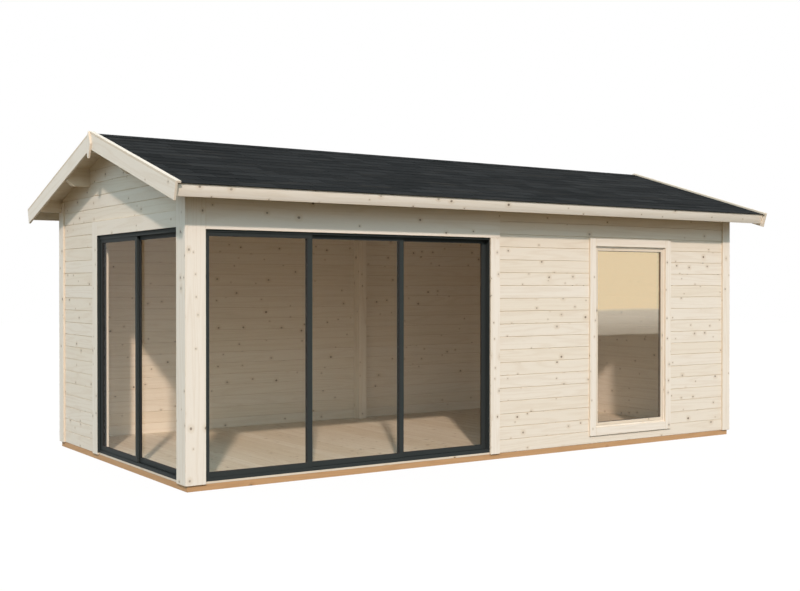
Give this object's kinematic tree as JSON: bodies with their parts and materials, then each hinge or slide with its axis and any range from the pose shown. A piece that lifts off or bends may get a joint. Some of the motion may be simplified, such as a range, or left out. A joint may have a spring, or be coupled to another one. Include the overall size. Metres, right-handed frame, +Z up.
{
  "type": "garden office pod",
  "caption": "Single-storey timber garden room with a pitched felt roof, sliding glass doors meeting at a corner post and a tall fixed window.",
  "frame": {"origin": "on the ground under the middle of the roof", "axes": "+X along the ridge to the right, +Y to the back so that the long front faces -Y, +Z up"},
  "size_m": [6.82, 3.863, 2.9934],
  "materials": {
    "spruce": "planed unpainted spruce with small knots",
    "floor_boards": "planed pine floorboards",
    "impregnated_timber": "pressure-treated timber",
    "roofing_felt": "charcoal mineral-faced roofing felt",
    "anthracite_aluminium": "matt anthracite powder coat",
    "tinted_glass": "lightly bronze-tinted clear glass",
    "clear_glass": "clear window glass"
  },
  "bodies": {
    "house": {"corner_post": "spruce", "corner_post_boards": "spruce", "corner_trims": "spruce", "front_lintel": "spruce", "front_header_board": "spruce", "front_door_trim": "spruce", "front_wall": "spruce", "window_architrave": "spruce", "window_frame": "spruce", "rear_wall": "spruce", "left_wall": "spruce", "left_lintel": "spruce", "left_header_board": "spruce", "left_door_trim": "spruce", "left_gable": "spruce", "right_wall": "spruce", "right_gable": "spruce", "inner_battens": "spruce", "roof_beams": "spruce", "roof_boards_front": "spruce", "roof_boards_rear": "spruce", "fascias": "spruce", "bargeboards_front": "spruce", "bargeboards_rear": "spruce", "cap_boards_front": "spruce", "cap_boards_rear": "spruce", "finials": "spruce", "door_sills": "spruce", "floor_deck": "floor_boards", "long_bearers": "impregnated_timber", "cross_bearers": "impregnated_timber", "roofing_front": "roofing_felt", "roofing_rear": "roofing_felt", "window_glass": "clear_glass", "front_door_frame": "anthracite_aluminium", "side_door_frame": "anthracite_aluminium"},
    "front_door_left": {"front_door_left_sash": "anthracite_aluminium", "front_door_left_glass": "tinted_glass"},
    "front_door_middle": {"front_door_middle_sash": "anthracite_aluminium", "front_door_middle_glass": "tinted_glass"},
    "front_door_right": {"front_door_right_sash": "anthracite_aluminium", "front_door_right_glass": "tinted_glass"},
    "side_door_rear": {"side_door_rear_sash": "anthracite_aluminium", "side_door_rear_glass": "tinted_glass"},
    "side_door_front": {"side_door_front_sash": "anthracite_aluminium", "side_door_front_glass": "tinted_glass"}
  },
  "joints": [
    {"name": "front_door_left_slide", "type": "slide", "parent": "house", "child": "front_door_left", "axis": [1, 0, 0], "range_m": [0, 1.8866]},
    {"name": "front_door_middle_slide", "type": "slide", "parent": "house", "child": "front_door_middle", "axis": [1, 0, 0], "range_m": [-0.9433, 0.9433]},
    {"name": "front_door_right_slide", "type": "slide", "parent": "house", "child": "front_door_right", "axis": [1, 0, 0], "range_m": [-1.8866, 0]},
    {"name": "side_door_rear_slide", "type": "slide", "parent": "house", "child": "side_door_rear", "axis": [0, 1, 0], "range_m": [-0.889, 0]},
    {"name": "side_door_front_slide", "type": "slide", "parent": "house", "child": "side_door_front", "axis": [0, 1, 0], "range_m": [0, 0.889]}
  ]
}
